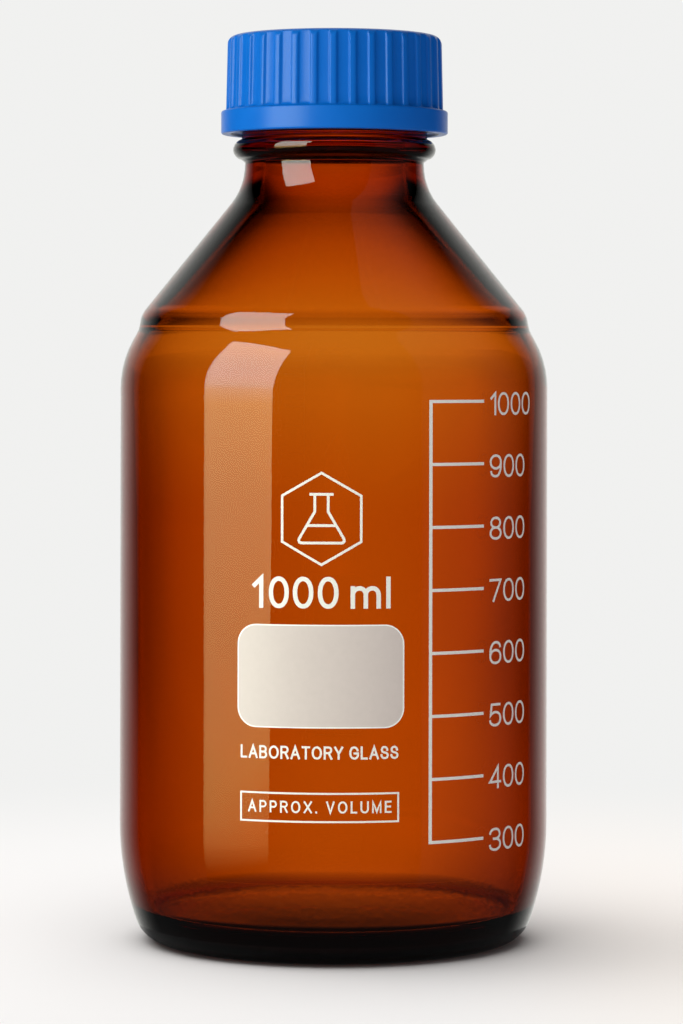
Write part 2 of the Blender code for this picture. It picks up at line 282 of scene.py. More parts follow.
def amber_glass():
    """Clear glass whose colour comes from its thickness."""
    mat, nodes, links, bsdf = new_material("amber_glass")
    bsdf.inputs["Base Color"].default_value = (1, 1, 1, 1)
    bsdf.inputs["Roughness"].default_value = 0.0
    bsdf.inputs["IOR"].default_value = 1.473
    bsdf.inputs["Transmission Weight"].default_value = 1.0
    wave = noise_node(nodes, links, 34.0, 1.0)
    broad = add_bump(nodes, links, bsdf, wave.outputs["Fac"], 0.12, 0.0006)
    # fine ripples where the glass set last: round the rim of the inside floor, not on the outer wall or foot
    tree = mat.node_tree
    at = axes(tree)
    squares = [calc(tree, "POWER", calc(tree, "ABSOLUTE", at[axis]), 2.0) for axis in ("X", "Y")]
    radius = calc(tree, "SQRT", calc(tree, "ADD", *squares))
    rim = calc(tree, "MULTIPLY", ease(tree, radius, 0.030, 0.038), calc(tree, "LESS_THAN", radius, 0.0462))
    low = calc(tree, "SUBTRACT", 1.0, ease(tree, at["Z"], 0.014, 0.030))
    above_foot = calc(tree, "GREATER_THAN", at["Z"], 0.0065)
    rim = calc(tree, "MULTIPLY", rim, calc(tree, "MULTIPLY", low, above_foot))
    ripple = noise_node(nodes, links, 620.0, 1.0)
    fine = nodes.new("ShaderNodeBump")
    fine.inputs["Distance"].default_value = 0.000028
    links.new(calc(tree, "MULTIPLY", ripple.outputs["Fac"], rim), fine.inputs["Height"])
    links.new(broad.outputs["Normal"], fine.inputs["Normal"])
    links.new(fine.outputs["Normal"], bsdf.inputs["Normal"])
    volume = nodes.new("ShaderNodeVolumeAbsorption")
    volume.inputs["Color"].default_value = (0.9278, 0.636, 0.0, 1)
    volume.inputs["Density"].default_value = 935.0
    links.new(volume.outputs["Volume"], nodes["Material Output"].inputs["Volume"])
    return mat


def moulded_plastic(name, dark, light, roughness, grain=0.25):
    """Satin polypropylene with a fine moulding grain and slight unevenness."""
    mat, nodes, links, bsdf = new_material(name)
    cloud = noise_node(nodes, links, 90.0, 3.0)
    links.new(blend_colour(mat.node_tree, cloud.outputs["Fac"], dark, light), bsdf.inputs["Base Color"])
    rough = nodes.new("ShaderNodeMapRange")
    rough.inputs["To Min"].default_value = roughness - 0.05
    rough.inputs["To Max"].default_value = roughness + 0.06
    links.new(cloud.outputs["Fac"], rough.inputs["Value"])
    links.new(rough.outputs["Result"], bsdf.inputs["Roughness"])
    fine = noise_node(nodes, links, 2600.0, 2.0)
    add_bump(nodes, links, bsdf, fine.outputs["Fac"], grain, 0.00004)
    bsdf.inputs["IOR"].default_value = 1.49
    bsdf.inputs["Specular IOR Level"].default_value = 0.28
    return mat


def enamel(name, colour, roughness=0.42):
    """Fired print: opaque, satin, very slightly uneven in cover and in surface."""
    mat, nodes, links, bsdf = new_material(name)
    cover = noise_node(nodes, links, 700.0, 4.0)
    thin = tuple(c * 0.96 for c in colour)
    full = tuple(min(1.0, c * 1.03) for c in colour)
    links.new(blend_colour(mat.node_tree, cover.outputs["Fac"], thin, full), bsdf.inputs["Base Color"])
    bsdf.inputs["Roughness"].default_value = roughness
    bsdf.inputs["IOR"].default_value = 1.5
    fine = noise_node(nodes, links, 3200.0, 2.0)
    add_bump(nodes, links, bsdf, fine.outputs["Fac"], 0.3, 0.00003)
    return mat


glass = amber_glass()
cap_blue = moulded_plastic("cap_plastic", (0.0, 0.108, 0.50), (0.0, 0.124, 0.56), 0.30, 0.4)
ring_blue = moulded_plastic("ring_plastic", (0.002, 0.13, 0.52), (0.004, 0.15, 0.58), 0.34)
silicone = moulded_plastic("seal_silicone", (0.74, 0.74, 0.72), (0.82, 0.82, 0.80), 0.55)
label_white = enamel("label_enamel", (0.61, 0.525, 0.515))
border_white = enamel("label_border_enamel", (0.88, 0.88, 0.87), 0.35)
scale_white = enamel("scale_enamel", (0.80, 0.78, 0.76))
frame_white = enamel("frame_enamel", (0.80, 0.78, 0.76))
emblem_white = enamel("emblem_enamel", (0.80, 0.78, 0.76))

# ---------------------------------------------------------------- bottle
HEEL_TOP_Z, HEEL_R, FOOT_TOP_Z, INNER_HEEL_Z = 28.0, 70.0, 5.0, 14.0
FLOOR_Z, FLOOR_RISE, PUNT, FOOT_FLAT_R = 7.2, 0.6, 3.2, 37.0
NECK_R, BEAD_R, BEAD_Z, BEAD_ROUND = 21.2, 24.0, 186.65, 2.4
THREAD_ROOT_R, THREAD_CREST_R, BORE_R, LIP_R = 20.9, 22.25, 16.6, 19.9

heel_c = BODY_R - HEEL_R
heel_deg = math.degrees(math.asin((HEEL_TOP_Z - FOOT_TOP_Z) / HEEL_R))
foot_r = heel_c + HEEL_R * math.cos(math.radians(heel_deg))
foot_round = FOOT_TOP_Z / (1 - math.sin(math.radians(heel_deg)))
foot_c = foot_r - foot_round * math.cos(math.radians(heel_deg))
inner_heel = HEEL_R - WALL
inner_deg = math.degrees(math.asin((HEEL_TOP_Z - INNER_HEEL_Z) / inner_heel))
inner_r = heel_c + inner_heel * math.cos(math.radians(inner_deg))

inside = [(0.0, FLOOR_Z + FLOOR_RISE), (10.0, FLOOR_Z + 0.56), (20.0, FLOOR_Z + 0.4)]
inside += rounded(
    [(29.0, FLOOR_Z + 0.15, 0), (36.0, FLOOR_Z, 0), (inner_r - 1.7, FLOOR_Z, 3.6), (inner_r, INNER_HEEL_Z, 0)]
)
inside += arc(heel_c, HEEL_TOP_Z, inner_heel, -inner_deg, 0, 8)[1:]
inside += rounded(
    [
        (BODY_R - WALL, 60.0, 60.0),
        (BODY_R - WALL, 100.0, 60.0),
        (47.45, 126.0, 30.0),
        (47.6, 136.4, 19.0),
        (43.58, 143.83, 2.5),
        (43.48, 144.52, 0.3),
        (42.6, 146.6, 6.0),
        (42.0, 147.8, 8.0),
        (16.9, 176.6, 13.0),
        (16.9, 186.0, 0),
        (BORE_R, 193.0, 0),
        (BORE_R, LIP_Z, 1.4),
        (18.2, LIP_Z, 0),
    ]
)
outside = rounded(
    [
        (18.6, LIP_Z, 0),
        (LIP_R, LIP_Z, 1.2),
        (LIP_R, 203.4, 0.4),
        (THREAD_ROOT_R, 202.4, 0.4),
        (THREAD_ROOT_R, 191.9, 0.5),
        (21.95, 190.6, 0.5),
        (21.95, 189.2, 0),
    ]
)
outside += arc(BEAD_R - BEAD_ROUND, BEAD_Z, BEAD_ROUND, 74, -78, 18)
outside += rounded(
    [
        (NECK_R, 183.6, 0),
        (NECK_R, 177.9, 15.0),
        (45.50, 147.75, 6.0),
        (46.25, 143.95, 5.0),
        (BODY_R, 136.2, 23.0),
        (BODY_R, 82.0, 0),
    ]
)
outside += arc(heel_c, HEEL_TOP_Z, HEEL_R, 0, -heel_deg, 12)
outside += arc(foot_c, foot_round, foot_round, -heel_deg, -90, 14)[1:]
HOLLOW = [(36.4, 0.12), (35.4, 0.4), (30.0, 1.0), (22.0, 1.9), (12.0, 2.8)]  # under the base
outside += [(FOOT_FLAT_R, 0.0), *HOLLOW, (0.0, PUNT)]

# the rows that carry the thread stand closer together than the outline's own points, which they replace
THREAD_LOW_Z, THREAD_HIGH_Z = 192.0, 202.3
thread_rows = [(THREAD_ROOT_R, 202.2 - 0.3 * i) for i in range(34)]
bottle_profile = stretch(inside, GLASS_STEP)
first_outside = len(bottle_profile)
for point in stretch(outside, GLASS_STEP):
    if abs(point[0] - THREAD_ROOT_R) < 0.01 and THREAD_LOW_Z < point[1] < THREAD_HIGH_Z:
        continue
    bottle_profile.append(point)
low_shoulder = next(i for i, p in enumerate(bottle_profile) if i > first_outside and p[1] < THREAD_LOW_Z)
bottle_profile[low_shoulder:low_shoulder] = thread_rows


def glass_radius(r, angle, z, index):
    if index >= first_outside and 191.0 < z < 203.0:
        up = thread_height(angle, z, THREAD_Z, THREAD_TURNS, 1.45, 0.45)
        return max(r, THREAD_ROOT_R + (THREAD_CREST_R - THREAD_ROOT_R) * up)
    if index < first_outside and 12.0 < z < 140.0:
        # blown glass is never quite even: the inner wall wanders a few hundredths of a millimetre
        place_at = Vector((math.cos(angle) * 2.2, math.sin(angle) * 2.2, z * 0.022))
        return r + 0.10 * noise.noise(place_at) * smoothstep((z - 12.0) / 15.0)
    return r


place(
    "bottle_glass",
    turned(bottle_profile, GLASS_STEPS, glass_radius),
    glass,
    "bottle",
    ["bottle"],
    60.0,
)

# ---------------------------------------------------------------- pouring ring and sealing disc
ring_profile = rounded(
    [
        (18.0, 209.55, 0),
        (16.1, 209.2, 0.5),
        (15.55, 208.4, 0.8),
        (15.6, 205.1, 0.3),
        (16.35, 205.4, 0.2),
        (16.35, 208.1, 0.3),
        (17.0, 208.75, 0.3),
        (19.3, 208.75, 0.3),
        (20.2, 207.9, 0.3),
        (20.25, 203.95, 0.15),
        (21.15, 203.95, 0.3),
        (21.15, 207.8, 0.4),
        (20.85, 208.8, 0.5),
        (21.0, 210.4, 0.4),
        (20.7, 211.08, 0.15),
        (20.0, 211.0, 0.2),
        (19.7, 210.1, 0.3),
        (19.3, 209.57, 0.2),
        (18.6, 209.56, 0),
    ]
)
drip_ring = turned(ring_profile, 160, closed=True)
place("drip_ring", drip_ring, ring_blue, "bottle", ["pouring_ring"])

disc_profile = rounded(
    [
        (0.0, DISC_HIGH, 0),
        (DISC_R - 0.6, DISC_HIGH, 0.1),
        (DISC_R, DISC_HIGH - 0.4, 0.3),
        (DISC_R, DISC_LOW, 0.3),
        (16.5, DISC_LOW, 0.1),
        (16.2, DISC_LOW + 0.15, 0.1),
        (0.0, DISC_LOW + 0.15, 0),
    ]
)
place("seal", turned(disc_profile, 128), silicone, "seal", ["sealing_disc"])

# ---------------------------------------------------------------- screw cap
FLANGE_TOP_Z, RIB_R_LOW, RIB_R_HIGH, CAP_ROUND = 195.8, 25.8, 25.45, 2.2
RIB_DEPTH, RIB_BLEND, RIB_PHASE_DEG = 0.62, 0.12, -2.9
CAP_BORE_R, CAP_CREST_R, CEILING_Z = 23.1, 21.55, 211.6
RIB_SHAPE = (  # one rib: (degrees from its left foot, share of the depth)
    (0.0, 0.0),
    (0.25, 0.08),
    (0.5, 0.72),
    (0.75, 0.90),
    (1.1, 0.95),
    (1.8, 0.99),
    (2.5, 1.0),
    (3.3, 0.93),
    (3.75, 0.78),
    (4.1, 0.52),
    (4.45, 0.23),
    (4.8, 0.05),
    (5.3, -0.04),
    (6.6, -0.13),
    (8.0, -0.14),
    (9.4, -0.07),
)
pitch_deg = 360.0 / RIBS
rib_stations = [(RIB_PHASE_DEG + k * pitch_deg + deg, up) for k in range(RIBS) for deg, up in RIB_SHAPE]


def over_ribs(z):
    """Radius over the ribs at a height."""
    share = (z - FLANGE_TOP_Z) / (CAP_HIGH - CAP_ROUND - FLANGE_TOP_Z)
    return RIB_R_LOW + (RIB_R_HIGH - RIB_R_LOW) * share


round_r = RIB_R_HIGH - CAP_ROUND
top = [(5.0, CAP_HIGH), (12.0, CAP_HIGH), (18.0, CAP_HIGH)]
top += arc(round_r, CAP_HIGH - CAP_ROUND, CAP_ROUND, 90, 0, 16)
wall = [(over_ribs(z), z) for z in (209.0, 206.0, 202.0, 198.5, 196.6)]
foot_out = over_ribs(FLANGE_TOP_Z)
foot = [(foot_out + 0.02, FLANGE_TOP_Z + 0.25), (foot_out + 0.2, FLANGE_TOP_Z + 0.05)]
flange = rounded(
    [
        (RIB_R_LOW + 0.3, FLANGE_TOP_Z, 0),
        (FLANGE_R, FLANGE_TOP_Z - 0.05, 0.5),
        (FLANGE_R, CAP_LOW, 0.5),
        (CAP_BORE_R + 1.6, CAP_LOW, 0.2),
        (CAP_BORE_R + 1.4, CAP_LOW + 0.5, 0.2),
        (CAP_BORE_R, CAP_LOW + 0.9, 0.3),
        (CAP_BORE_R, CAP_LOW + 1.6, 0),
    ]
)
bore = [(CAP_BORE_R, CAP_LOW + 2.0 + 0.35 * i) for i in range(50)]
ceiling = [
    (CAP_BORE_R, CEILING_Z - 0.5),
    (CAP_BORE_R - 0.5, CEILING_Z),
    (19.9, CEILING_Z),
    (8.0, CEILING_Z),
]
ribbed_rows = len(top) + len(wall)
cap_rows = top + wall + foot + flange + bore + ceiling

bm = bmesh.new()
rings = []
for index, (radius, z) in enumerate(cap_rows):
    loop = []
    for deg, up in rib_stations:
        r = radius
        a = math.radians(deg - 90.0)
        if index < ribbed_rows:
            # the smaller of the two radii, blended where they cross
            deep = over_ribs(z) - RIB_DEPTH * (1.0 - up)
            gap = (deep - radius) / RIB_BLEND
            r = min(radius, deep)
            if abs(gap) <= 1:
                r -= RIB_BLEND * (1 - abs(gap)) ** 2 / 4
        elif index < ribbed_rows + len(foot):
            share = (index - ribbed_rows + 1) / (len(foot) + 1)
            r = radius - RIB_DEPTH * (1.0 - up) * (1 - share) ** 1.5
        elif CAP_LOW + 2.0 <= z < CEILING_Z - 1.0 and radius == CAP_BORE_R:
            ridge = thread_height(a, z, THREAD_Z + CAP_THREAD_UP, THREAD_TURNS - 0.3, 1.0, 0.3)
            r = radius - (CAP_BORE_R - CAP_CREST_R) * ridge
        loop.append(bm.verts.new((r * math.cos(a), r * math.sin(a), z)))
    rings.append(loop)
for upper, lower in zip(rings, rings[1:]):
    for i in range(len(upper)):
        j = (i + 1) % len(upper)
        bm.faces.new((upper[i], lower[i], lower[j], upper[j]))
for loop, z in ((rings[0], CAP_HIGH), (rings[-1], CEILING_Z)):
    centre = bm.verts.new((0, 0, z))
    for i in range(len(loop)):
        bm.faces.new((loop[i], loop[(i + 1) % len(loop)], centre))
place("ribbed_cap", bm, cap_blue, "cap", ["screw_cap"], 50.0)

# ---------------------------------------------------------------- prints: strips laid on the straight wall
PRINT_R = BODY_R + 0.045
PRINT_THICK = 0.045
PRINT_STEP = 1.2  # longest step of a line round the wall
OVER = 0.004  # a stroke that crosses another lies this much farther out


def on_wall(bm, x_mm, z, radius):
    """Vertex at an arc distance to the right of the front centre line."""
    a = x_mm / BODY_R
    return bm.verts.new((radius * math.sin(a), -radius * math.cos(a), z))


def strip(bm, left_edge, right_edge, closed, lift):
    """Thin closed solid between two matching edge lines of (arc mm, height mm) points."""
    low, high = PRINT_R + lift, PRINT_R + PRINT_THICK + lift
    rows = []
    for (ax, az), (bx, bz) in zip(left_edge, right_edge):
        rows.append(
            (
                on_wall(bm, ax, az, high),
                on_wall(bm, bx, bz, high),
                on_wall(bm, bx, bz, low),
                on_wall(bm, ax, az, low),
            )
        )
    pairs = list(zip(rows, rows[1:]))
    if closed:
        pairs.append((rows[-1], rows[0]))
    for one, two in pairs:
        for k in range(4):
            j = (k + 1) % 4
            bm.faces.new((one[k], one[j], two[j], two[k]))
    if not closed:
        bm.faces.new(rows[0][::-1])
        bm.faces.new(rows[-1])


def stroke(bm, points, width, closed=False, square=True, lift=0.0):
    """Pen line of constant width through (arc mm, height mm) points, with mitred corners."""
    points = [Vector(p) for p in points]
    if closed and (points[0] - points[-1]).length < 1e-6:
        points.pop()
    if square and not closed:
        points[0] = points[0] + (points[0] - points[1]).normalized() * width / 2
        points[-1] = points[-1] + (points[-1] - points[-2]).normalized() * width / 2
    count = len(points)
    left, right = [], []
    for i, p in enumerate(points):
        before = points[i - 1] if closed or i else None
        after = points[(i + 1) % count] if closed or i < count - 1 else None
        d0 = (p - before).normalized() if before is not None else (after - p).normalized()
        d1 = (after - p).normalized() if after is not None else d0
        normal = Vector((-(d0 + d1).y, (d0 + d1).x)).normalized()
        reach = width / 2 / max(0.35, normal.dot(Vector((-d0.y, d0.x))))
        left.append(p + normal * reach)
        right.append(p - normal * reach)
    strip(bm, left, right, closed, lift)


def path_points(path):
    """Points of a path: an item of two numbers is a line to there, of four a quarter oval (corner, end)."""
    points = [path[0]]
    for item in path[1:]:
        if len(item) == 2:
            points.append(item)
            continue
        cx, cy, ex, ey = item
        sx, sy = points[-1]
        for i in range(1, 9):
            a = math.pi / 2 * i / 8
            s, c = 1 - math.sin(a) ** 0.94, 1 - math.cos(a) ** 0.94
            points.append((cx + (sx - cx) * s + (ex - cx) * c, cy + (sy - cy) * s + (ey - cy) * c))
    return points


OVAL = [(0, 0.5), (0, 1, 0.5, 1), (1, 1, 1, 0.5), (1, 0, 0.5, 0), (0, 0, 0, 0.5)]
GLYPHS = {  # character: (width over height, strokes)
    "0": (0.64, [OVAL]),
    "1": (0.34, [[(0, 0.76), (1, 1), (1, 0)]]),
    "3": (
        0.60,
        [
            [
                (0.02, 0.80), (0.06, 1, 0.5, 1), (0.95, 1, 0.95, 0.76),
                (0.95, 0.53, 0.5, 0.53), (0.36, 0.53),
            ],
            [(0.5, 0.53), (1, 0.53, 1, 0.27), (1, 0, 0.5, 0), (0.03, 0, 0, 0.2)],
        ],
    ),
    "4": (0.66, [[(0.76, 0), (0.76, 1), (0, 0.27), (1, 0.27)]]),
    "5": (
        0.60,
        [
            [
                (0.92, 1), (0.14, 1), (0.05, 0.5), (0.2, 0.63, 0.5, 0.63),
                (1, 0.63, 1, 0.32), (1, 0, 0.5, 0), (0.04, 0, 0, 0.2),
            ],
        ],
    ),
    "6": (
        0.62,
        [
            [(0, 0.31), (0, 0.62, 0.5, 0.62), (1, 0.62, 1, 0.31), (1, 0, 0.5, 0), (0, 0, 0, 0.31)],
            [(0.95, 0.80), (0.92, 1, 0.52, 1), (0, 1, 0, 0.45), (0, 0.31)],
        ],
    ),
    "7": (0.60, [[(0, 1), (1, 1), (0.3, 0)]]),
    "8": (
        0.62,
        [
            [
                (0.06, 0.76), (0.06, 1, 0.5, 1), (0.94, 1, 0.94, 0.76),
                (0.94, 0.53, 0.5, 0.53), (0.06, 0.53, 0.06, 0.76),
            ],
            [(0, 0.26), (0, 0.53, 0.5, 0.53), (1, 0.53, 1, 0.26), (1, 0, 0.5, 0), (0, 0, 0, 0.26)],
        ],
    ),
    "9": (
        0.62,
        [
            [(1, 0.69), (1, 0.38, 0.5, 0.38), (0, 0.38, 0, 0.69), (0, 1, 0.5, 1), (1, 1, 1, 0.69)],
            [(1, 0.69), (1, 0.55), (1, 0, 0.48, 0), (0.08, 0, 0.05, 0.2)],
        ],
    ),
    "m": (
        0.94,
        [
            [(0, 0), (0, 0.66)],
            [(0, 0.42), (0, 0.66, 0.27, 0.66), (0.5, 0.66, 0.5, 0.40), (0.5, 0)],
            [(0.5, 0.42), (0.5, 0.66, 0.76, 0.66), (1, 0.66, 1, 0.40), (1, 0)],
        ],
    ),
    "l": (0.0, [[(0, 0), (0, 1)]]),
    "A": (0.74, [[(0, 0), (0.5, 1), (1, 0)], [(0.22, 0.33), (0.78, 0.33)]]),
    "B": (
        0.64,
        [
            [(0, 0.52), (0, 1), (0.5, 1), (0.92, 1, 0.92, 0.76), (0.92, 0.52, 0.5, 0.52)],
            [(0, 0.52), (0.55, 0.52), (1, 0.52, 1, 0.26), (1, 0, 0.55, 0), (0, 0), (0, 0.52)],
        ],
    ),
    "E": (0.58, [[(1, 1), (0, 1), (0, 0), (1, 0)], [(0, 0.53), (0.92, 0.53)]]),
    "G": (
        0.74,
        [
            [
                (0.94, 0.74), (0.86, 1, 0.5, 1), (0, 1, 0, 0.5), (0, 0, 0.52, 0),
                (0.98, 0.02, 1, 0.3), (1, 0.46), (0.56, 0.46),
            ],
        ],
    ),
    "L": (0.54, [[(0, 1), (0, 0), (1, 0)]]),
    "M": (0.80, [[(0, 0), (0, 1), (0.5, 0.04), (1, 1), (1, 0)]]),
    "O": (0.78, [OVAL]),
    "P": (0.62, [[(0, 0), (0, 1), (0.55, 1), (1, 1, 1, 0.73), (1, 0.46, 0.55, 0.46), (0, 0.46)]]),
    "R": (
        0.66,
        [
            [(0, 0), (0, 1), (0.55, 1), (0.97, 1, 0.97, 0.75), (0.97, 0.50, 0.55, 0.50), (0, 0.50)],
            [(0.58, 0.5), (1, 0)],
        ],
    ),
    "S": (
        0.64,
        [
            [(0.93, 0.74), (0.9, 1, 0.48, 1), (0.04, 1, 0.04, 0.75), (0.04, 0.56, 0.5, 0.51)],
            [(0.5, 0.51), (1, 0.46, 1, 0.26), (1, 0, 0.5, 0), (0.04, 0, 0, 0.27)],
        ],
    ),
    "T": (0.64, [[(0, 1), (1, 1)], [(0.5, 1), (0.5, 0)]]),
    "U": (0.70, [[(0, 1), (0, 0.34), (0, 0, 0.5, 0), (1, 0, 1, 0.34), (1, 1)]]),
    "V": (0.70, [[(0, 1), (0.5, 0), (1, 1)]]),
    "X": (0.70, [[(0, 0), (1, 1)], [(0, 1), (1, 0)]]),
    "Y": (0.70, [[(0, 1), (0.5, 0.44), (1, 1)], [(0.5, 0.44), (0.5, 0)]]),
    ".": (0.0, [[(0, 0), (0, 0.02)]]),
    " ": (0.20, []),
}


def write(bm, text, left, right, base, height, pen, widen=1.0):
    """Lettering between two arc positions, its spacing stretched to fit."""
    widths = [GLYPHS[c][0] * height * widen + (0 if GLYPHS[c][0] else pen) for c in text]
    gap = (right - left - sum(widths)) / max(1, len(text) - 1)
    x = left
    for char, width in zip(text, widths):
        for number, path in enumerate(GLYPHS[char][1]):
            points = [
                (x + pen / 2 + px * max(0.0, width - pen), base + pen / 2 + py * (height - pen))
                for px, py in path_points(path)
            ]
            loop = points[0] == points[-1] or (Vector(points[0]) - Vector(points[-1])).length < 1e-6
            stroke(bm, points, pen, closed=loop, lift=OVER * number)
        x += width + gap


def figure(bm, char, left, width, base, height, pen):
    """One character of a given width."""
    write(bm, char, left, left + width, base, height, pen, width / (GLYPHS[char][0] * height))


def arc_mm(deg):
    """Distance round the wall to an azimuth, positive to the right of the front."""
    return math.radians(deg) * BODY_R


def smooth_outline(left, right, low, high, corner, steps=10):
    """Closed outline of a rounded rectangle, its long sides split for the wall's curve."""
    points = []
    for cx, cz, start in (
        (right - corner, high - corner, 0),
        (left + corner, high - corner, 90),
        (left + corner, low + corner, 180),
        (right - corner, low + corner, 270),
    ):
        for i in range(steps + 1):
            a = math.radians(start + 90 * i / steps)
            points.append((cx + corner * math.cos(a), cz + corner * math.sin(a)))
    return stretch(points + points[:1], PRINT_STEP)[:-1]


# writing field
label_low, label_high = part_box("label_field")
LABEL_LEFT, LABEL_RIGHT = arc_mm(-25.2), arc_mm(18.3)
LABEL_CORNER = 4.5
bm = bmesh.new()
left_edge, right_edge = [], []
columns = [LABEL_LEFT + LABEL_CORNER * (1 - math.cos(math.radians(a))) for a in range(0, 91, 6)]
straight, count = LABEL_RIGHT - LABEL_LEFT - 2 * LABEL_CORNER, 40
columns += [LABEL_LEFT + LABEL_CORNER + straight * i / count for i in range(1, count)]
columns += [LABEL_RIGHT - LABEL_CORNER * (1 - math.cos(math.radians(a))) for a in range(90, -1, -6)]
for x in columns:
    reach = min(x - LABEL_LEFT, LABEL_RIGHT - x, LABEL_CORNER)
    cut = LABEL_CORNER - math.sqrt(max(0.0, LABEL_CORNER**2 - (LABEL_CORNER - reach) ** 2))
    cut = min(cut, LABEL_CORNER - 0.02)
    left_edge.append((x, label_high.z / MM - cut))
    right_edge.append((x, label_low.z / MM + cut))
strip(bm, left_edge, right_edge, False, 0.0)
place("writing_field", bm, label_white, "bottle", ["label_field"])

bm = bmesh.new()
BORDER = 0.3
inset = BORDER / 2
outline = smooth_outline(
    LABEL_LEFT + inset,
    LABEL_RIGHT - inset,
    label_low.z / MM + inset,
    label_high.z / MM - inset,
    LABEL_CORNER - inset,
)
stroke(bm, outline, BORDER, closed=True, lift=3 * OVER)
place("writing_field_border", bm, border_white, "bottle")

# volume scale with its figures
scale_low, scale_high = (corner.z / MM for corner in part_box("volume_scale"))
SCALE_X, TICK_END = arc_mm(25.6), arc_mm(42.4)
SCALE_LINE, TICK, MARKS = 0.8, 0.7, 8
top_mark = scale_high - TICK / 2
step = (scale_high - scale_low - TICK) / (MARKS - 1)
bm = bmesh.new()
stroke(bm, [(SCALE_X, scale_high), (SCALE_X, scale_low)], SCALE_LINE, square=False)
for k in range(MARKS):
    z = top_mark - step * k
    ends = stretch([(SCALE_X, z), (TICK_END, z)], PRINT_STEP)
    stroke(bm, ends, TICK, square=False, lift=OVER)
place("scale_bars", bm, scale_white, "bottle", ["volume_scale"])
bm = bmesh.new()
FIGURE_H, FIGURE_W, ONE_W, FIGURE_PEN = 5.27, 4.1, 1.9, 0.56
for k in range(MARKS):
    z = top_mark - step * k - 0.6 - FIGURE_H / 2
    x = arc_mm(44.6)
    for char in str(1000 - 100 * k):
        if char == "1":
            figure(bm, char, x + 0.2, ONE_W, z, FIGURE_H, FIGURE_PEN)
            x += ONE_W + 0.85
        else:
            figure(bm, char, x, FIGURE_W, z, FIGURE_H, FIGURE_PEN)
            x += FIGURE_W + 0.72
place("scale_figures", bm, scale_white, "bottle")

# capacity, generic caption lines and the frame round the lower one
CAPACITY = 81.3, 7.15, 1.0  # base line, height and pen
bm = bmesh.new()
figure(bm, "1", arc_mm(-21.1), 2.6, *CAPACITY)
for left in (-16.7, -10.4, -4.0):
    figure(bm, "0", arc_mm(left), 4.65, *CAPACITY)
figure(bm, "m", arc_mm(4.33), 6.85, *CAPACITY)
write(bm, "l", arc_mm(13.5), arc_mm(14.6), *CAPACITY)
write(bm, "LABORATORY GLASS", arc_mm(-24.3), arc_mm(16.8), 47.55, 2.95, 0.46)
write(bm, "APPROX. VOLUME", arc_mm(-22.2), arc_mm(15.0), 35.5, 2.7, 0.40)
place("caption_lettering", bm, frame_white, "bottle")

frame_low, frame_high = (corner.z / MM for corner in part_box("caption_frame"))
bm = bmesh.new()
FRAME_LINE = 0.42
FRAME_LEFT, FRAME_RIGHT = arc_mm(-24.4), arc_mm(17.0)
corners = [
    (FRAME_LEFT + FRAME_LINE / 2, frame_low + FRAME_LINE / 2),
    (FRAME_RIGHT - FRAME_LINE / 2, frame_low + FRAME_LINE / 2),
    (FRAME_RIGHT - FRAME_LINE / 2, frame_high - FRAME_LINE / 2),
    (FRAME_LEFT + FRAME_LINE / 2, frame_high - FRAME_LINE / 2),
]
stroke(bm, stretch(corners + corners[:1], PRINT_STEP), FRAME_LINE, closed=True)
place("caption_frame_line", bm, frame_white, "bottle", ["caption_frame"])

# emblem: plain hexagon with a conical flask
emblem_low, emblem_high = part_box("emblem_hexagon")
EMBLEM_X, EMBLEM_Z = arc_mm(-3.1), (emblem_low.z + emblem_high.z) / 2 / MM
EMBLEM_R = (emblem_high.z - emblem_low.z) / 2 / MM
HEXAGON_LINE, FLASK_LINE = 0.55, 0.6
bm = bmesh.new()
corners = []
for k in range(6):
    a = math.radians(30 + 60 * k)
    reach = EMBLEM_R - HEXAGON_LINE / 2 / math.cos(math.pi / 6)
    corners.append((EMBLEM_X + reach * math.cos(a), EMBLEM_Z + reach * math.sin(a)))
stroke(bm, stretch(corners + corners[:1], PRINT_STEP), HEXAGON_LINE, closed=True)
left_side = [(-1.5, 5.2), (-1.5, 1.6), (-5.0, -4.4), (-5.4, -5.4, -4.4, -5.4)]
flask = left_side + [(4.4, -5.4), (5.4, -5.4, 5.0, -4.4), (1.5, 1.6), (1.5, 5.2)]
flask_rim, flask_level = [(-2.4, 5.5), (2.4, 5.5)], [(-3.3, -1.5), (3.3, -1.5)]
for number, path in enumerate((flask, flask_rim, flask_level)):
    points = [(EMBLEM_X + x, EMBLEM_Z + z) for x, z in path_points(path)]
    stroke(bm, stretch(points, PRINT_STEP), FLASK_LINE, square=path is flask_rim, lift=OVER * number)
place("emblem_lines", bm, emblem_white, "bottle", ["emblem_hexagon"])

# ---------------------------------------------------------------- studio
BACKDROP = (0.878, 0.878, 0.868)
FLOOR_STEPS = 96


def azimuth_of(tree, x, y):
    """Degrees from straight behind the bottle, positive to the camera's right."""
    return calc(tree, "MULTIPLY", calc(tree, "ARCTAN2", x, y), 180 / math.pi)


# brightness of the surroundings seen through the glass, by azimuth; it repeats every quarter turn so that
# no side of the bottle goes black
SEEN = (
    (-45, 0.15),
    (-30, 0.34),
    (-26, 0.40),
    (-21, 0.38),
    (-16, 0.43),
    (-12, 0.50),
    (-9, 0.60),
    (-6, 0.72),
    (-4, 0.81),
    (-2, 0.86),
    (0, 0.88),
    (4, 0.87),
    (6, 0.77),
    (8, 0.67),
    (12, 0.50),
    (16, 0.38),
    (20, 0.29),
    (24, 0.22),
    (28, 0.24),
    (35, 0.18),
    (45, 0.15),
)


